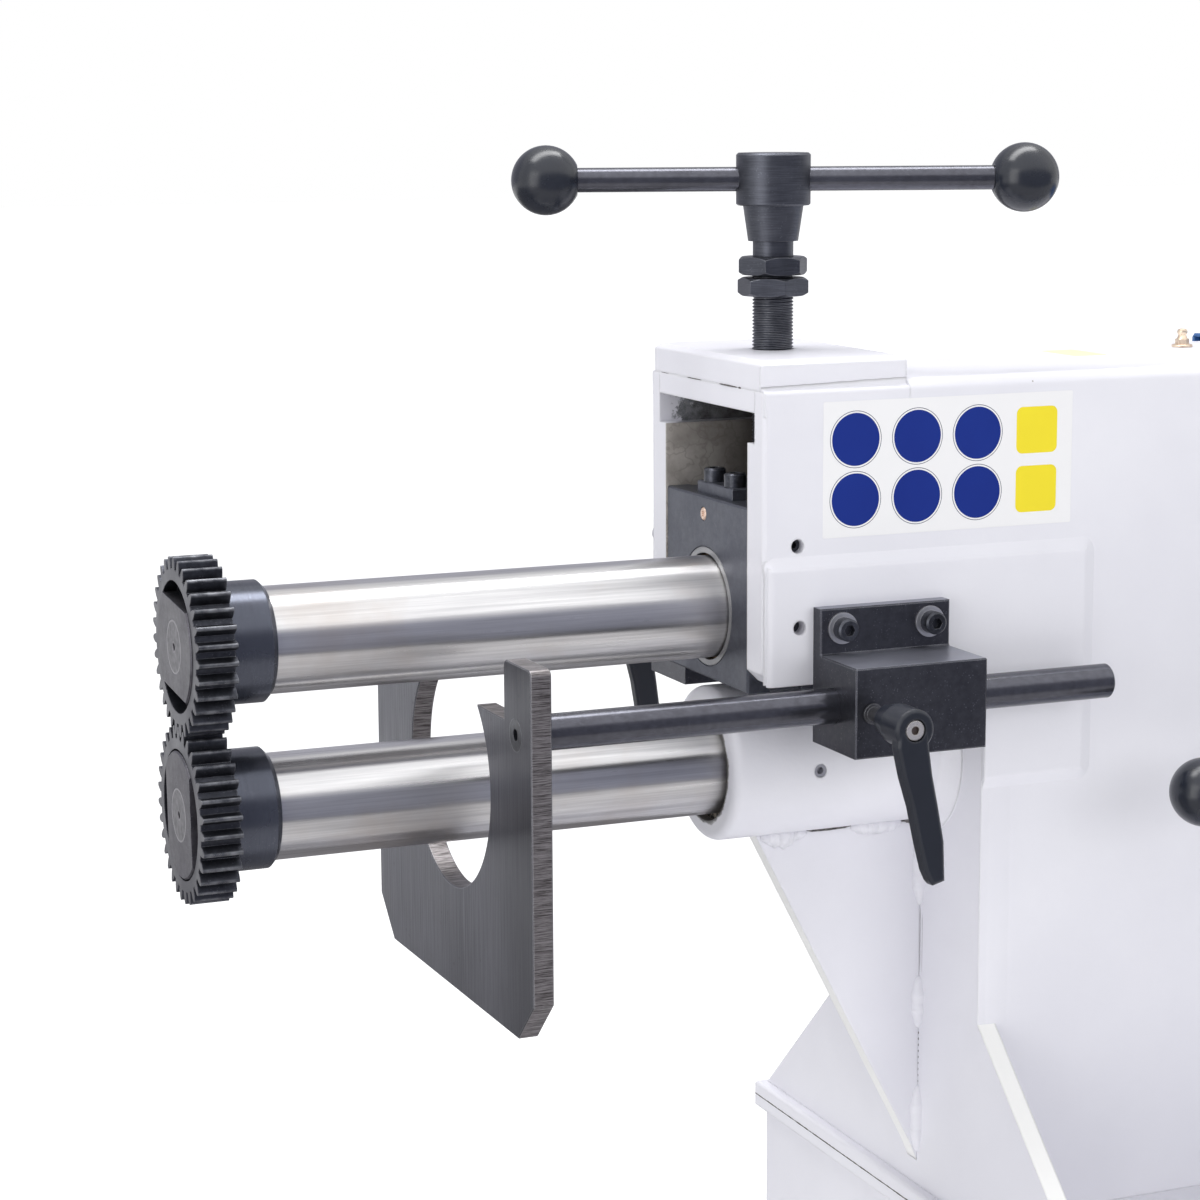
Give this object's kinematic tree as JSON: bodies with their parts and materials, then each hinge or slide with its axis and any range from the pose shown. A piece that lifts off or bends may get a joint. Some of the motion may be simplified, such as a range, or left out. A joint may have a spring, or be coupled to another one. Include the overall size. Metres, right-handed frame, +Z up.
{
  "type": "ring roller",
  "caption": "Motor-driven ring and bead roller: toothed rolls on cantilever shafts, screw-fed yoke, sliding fence, boxed column on a floor cabinet.",
  "frame": {"origin": "centre of the four floor anchor holes, at floor level", "axes": "+X from the rolls towards the rear, -Y towards the operator's side with the fence bar, +Z up"},
  "size_m": [0.989, 0.5143, 1.3984],
  "materials": {
    "body_paint": "semi-gloss off-white paint, softly orange-peeled",
    "hood_paint": "semi-gloss blue paint",
    "drive_paint": "satin grey paint over castings",
    "box_paint": "fine-textured grey powder coat",
    "black_oxide_steel": "oiled black oxide with slightly bright edges",
    "oiled_steel": "dark oiled steel, turned",
    "roll_steel": "hardened dark steel with bright worn crests",
    "satin_steel": "satin turned steel",
    "ground_steel": "ground bright with fine turning streaks",
    "mill_scale_steel": "brushed mill scale with ground edges",
    "bush_bronze": "plain bearing bronze",
    "black_plastic": "matte moulded plastic",
    "gloss_black_plastic": "polished moulded plastic",
    "stop_red": "gloss red plastic"
  },
  "bodies": {
    "frame": {"cabinet_shell": "body_paint", "cabinet_rear_panel": "body_paint", "base_plate": "body_paint", "floor_flange": "body_paint", "near_side_plate": "body_paint", "far_side_plate": "body_paint", "head_cap": "body_paint", "body_top_plate": "body_paint", "column_front_plate": "body_paint", "column_rear_plate": "body_paint", "web_gusset": "body_paint", "side_pads": "body_paint", "lower_housing": "body_paint", "rear_hood": "hood_paint", "gearmotor": "drive_paint", "control_box": "box_paint", "feed_nut_block": "black_oxide_steel", "trunnion_pins": "black_oxide_steel", "yoke_gibs": "black_oxide_steel", "set_screws": "black_oxide_steel", "near_bracket": "black_oxide_steel", "far_bracket": "black_oxide_steel", "bracket_screws": "black_oxide_steel", "shift_bearing": "black_oxide_steel", "lower_bushes": "bush_bronze", "cable_gland": "black_plastic"},
    "yoke": {"yoke_block": "black_oxide_steel", "screw_keeper": "black_oxide_steel", "keeper_screws": "black_oxide_steel"},
    "screw": {"feed_screw": "oiled_steel", "jam_nuts": "black_oxide_steel", "handle_hub": "black_oxide_steel", "handle_bar": "oiled_steel", "handle_balls": "gloss_black_plastic"},
    "upper_arm": {"upper_front_bush": "bush_bronze", "upper_swivel_block": "black_oxide_steel"},
    "upper_spindle": {"upper_shaft": "ground_steel", "upper_collars": "satin_steel", "upper_roll": "roll_steel", "upper_roll_nut": "roll_steel", "upper_drive_gear": "oiled_steel"},
    "shift_carrier": {"shift_ring": "black_oxide_steel"},
    "lower_spindle": {"lower_shaft": "ground_steel", "lower_collars": "satin_steel", "lower_roll": "roll_steel", "lower_roll_nut": "roll_steel", "lower_drive_gear": "oiled_steel"},
    "output_sleeve": {"reducer_sleeve": "satin_steel"},
    "star": {"shift_shaft": "oiled_steel", "star_handle": "oiled_steel", "star_balls": "gloss_black_plastic"},
    "bar": {"fence_bar": "black_oxide_steel"},
    "fence": {"fence_plate": "mill_scale_steel", "fence_bolt": "black_oxide_steel"},
    "near_stud": {"near_clamp_stud": "black_oxide_steel"},
    "near_lever": {"near_clamp_lever": "black_plastic"},
    "far_stud": {"far_clamp_stud": "black_oxide_steel"},
    "far_lever": {"far_clamp_lever": "black_plastic"},
    "stop": {"stop_button": "stop_red"},
    "switch": {"switch_knob": "black_plastic"}
  },
  "joints": [
    {"name": "screw_turn", "type": "hinge", "parent": "yoke", "child": "screw", "pos_m": [-0.348, 0, 1.3784], "axis": [0, 0, 1], "range_deg": [0, 2700]},
    {"name": "yoke_lift", "type": "slide", "parent": "frame", "child": "yoke", "axis": [0, 0, 1], "range_m": [0, 0.0151]},
    {"name": "arm_tilt", "type": "hinge", "parent": "frame", "child": "upper_arm", "pos_m": [-0.0507, 0, 1.1315], "axis": [0, 1, 0], "range_deg": [0, 2.74]},
    {"name": "upper_spin", "type": "hinge", "parent": "upper_arm", "child": "upper_spindle", "pos_m": [-0.34, 0, 1.1315], "axis": [1, 0, 0], "continuous": true},
    {"name": "star_turn", "type": "hinge", "parent": "frame", "child": "star", "pos_m": [-0.039, -0.15, 1.0375], "axis": [0, 1, 0], "range_deg": [-30, 30]},
    {"name": "lower_shift", "type": "slide", "parent": "frame", "child": "shift_carrier", "axis": [1, 0, 0], "range_m": [-0.0021, 0.0021]},
    {"name": "lower_spin", "type": "hinge", "parent": "shift_carrier", "child": "lower_spindle", "pos_m": [-0.34, 0, 1.0375], "axis": [1, 0, 0], "continuous": true},
    {"name": "sleeve_spin", "type": "hinge", "parent": "frame", "child": "output_sleeve", "pos_m": [0.142, 0, 1.0375], "axis": [1, 0, 0], "continuous": true},
    {"name": "fence_slide", "type": "slide", "parent": "frame", "child": "bar", "axis": [1, 0, 0], "range_m": [-0.09, 0.14]},
    {"name": "fence_swing", "type": "hinge", "parent": "bar", "child": "fence", "pos_m": [-0.545, -0.106, 1.0895], "axis": [1, 0, 0], "range_deg": [-8, 8]},
    {"name": "near_clamp_turn", "type": "hinge", "parent": "frame", "child": "near_stud", "pos_m": [-0.35095, -0.1335, 1.0895], "axis": [0, 1, 0], "range_deg": [-35, 35]},
    {"name": "near_lever_lift", "type": "slide", "parent": "near_stud", "child": "near_lever", "axis": [0, -1, 0], "range_m": [0, 0.004]},
    {"name": "far_clamp_turn", "type": "hinge", "parent": "frame", "child": "far_stud", "pos_m": [-0.35745, 0.1335, 1.0935], "axis": [0, 1, 0], "range_deg": [-35, 35]},
    {"name": "far_lever_lift", "type": "slide", "parent": "far_stud", "child": "far_lever", "axis": [0, 1, 0], "range_m": [0, 0.004]},
    {"name": "stop_press", "type": "slide", "parent": "frame", "child": "stop", "axis": [0, 1, 0], "range_m": [0, 0.005]},
    {"name": "switch_turn", "type": "hinge", "parent": "frame", "child": "switch", "pos_m": [0.16, -0.256, 0.625], "axis": [0, 1, 0], "range_deg": [0, 90]}
  ],
  "couplings": [
    {"joint": "yoke_lift", "follows": "screw_turn", "m_per_rad": 0.00031831},
    {"joint": "arm_tilt", "follows": "screw_turn", "ratio": 0.0010095},
    {"joint": "upper_spin", "follows": "lower_spin", "ratio": -1},
    {"joint": "sleeve_spin", "follows": "lower_spin", "ratio": 1},
    {"joint": "lower_shift", "follows": "star_turn", "m_per_rad": 0.004}
  ]
}
